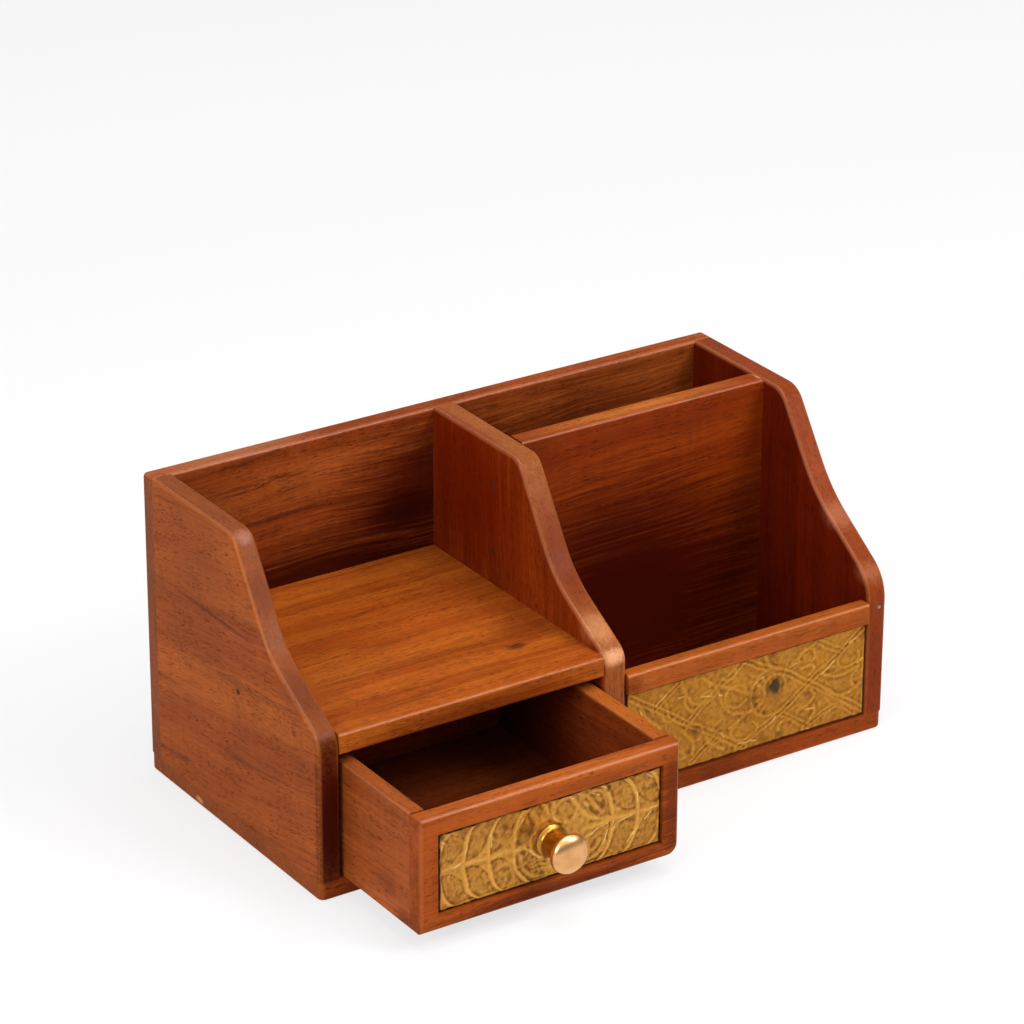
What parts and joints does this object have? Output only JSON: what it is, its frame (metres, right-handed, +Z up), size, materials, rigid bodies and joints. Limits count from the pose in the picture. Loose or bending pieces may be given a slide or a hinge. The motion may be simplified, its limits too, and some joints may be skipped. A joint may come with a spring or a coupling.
{
  "type": "pen stand with drawer",
  "caption": "Desk organiser in nailed hardwood with a letter tray over a small drawer, a low-fronted compartment, a pen slot, embossed brass panels and a turned brass knob.",
  "frame": {"origin": "centre of the base board's underside, where the stand rests on the desk", "axes": "+X to the right along the front, -Y towards the user (the way the drawer pulls out), +Z up"},
  "size_m": [0.212, 0.1588, 0.103],
  "materials": {
    "wood_upright": "waxed, eased edges, satin",
    "wood_board": "waxed, satin",
    "wood_rail": "waxed, satin",
    "wood_drawer": "waxed, satin",
    "drawer_bottom_board": "bare, dull",
    "embossed_brass": "hand-embossed sheet, antique patina in the hollows",
    "turned_brass": "polished, turned",
    "steel": "plain, slightly dulled"
  },
  "bodies": {
    "carcass": {"base_board": "wood_board", "left_side": "wood_upright", "divider": "wood_upright", "right_side": "wood_upright", "back_board": "wood_board", "tray_shelf": "wood_board", "pen_partition": "wood_board", "front_rail": "wood_rail", "front_panel": "wood_rail", "front_brass_plate": "embossed_brass", "shelf_pins": "steel", "partition_pins": "steel", "panel_pins": "steel", "base_pins": "steel", "back_pins": "steel"},
    "drawer": {"drawer_front": "wood_drawer", "drawer_left_wall": "wood_drawer", "drawer_right_wall": "wood_drawer", "drawer_back": "wood_drawer", "drawer_bottom": "drawer_bottom_board", "drawer_brass_plate": "embossed_brass", "drawer_knob": "turned_brass", "knob_screw": "steel", "knob_washer": "steel", "drawer_front_pins": "steel", "drawer_back_pins": "steel", "drawer_bottom_pins": "steel"}
  },
  "joints": [
    {"name": "drawer_slide", "type": "slide", "parent": "carcass", "child": "drawer", "axis": [0, -1, 0], "range_m": [-0.0427, 0.0325]}
  ]
}
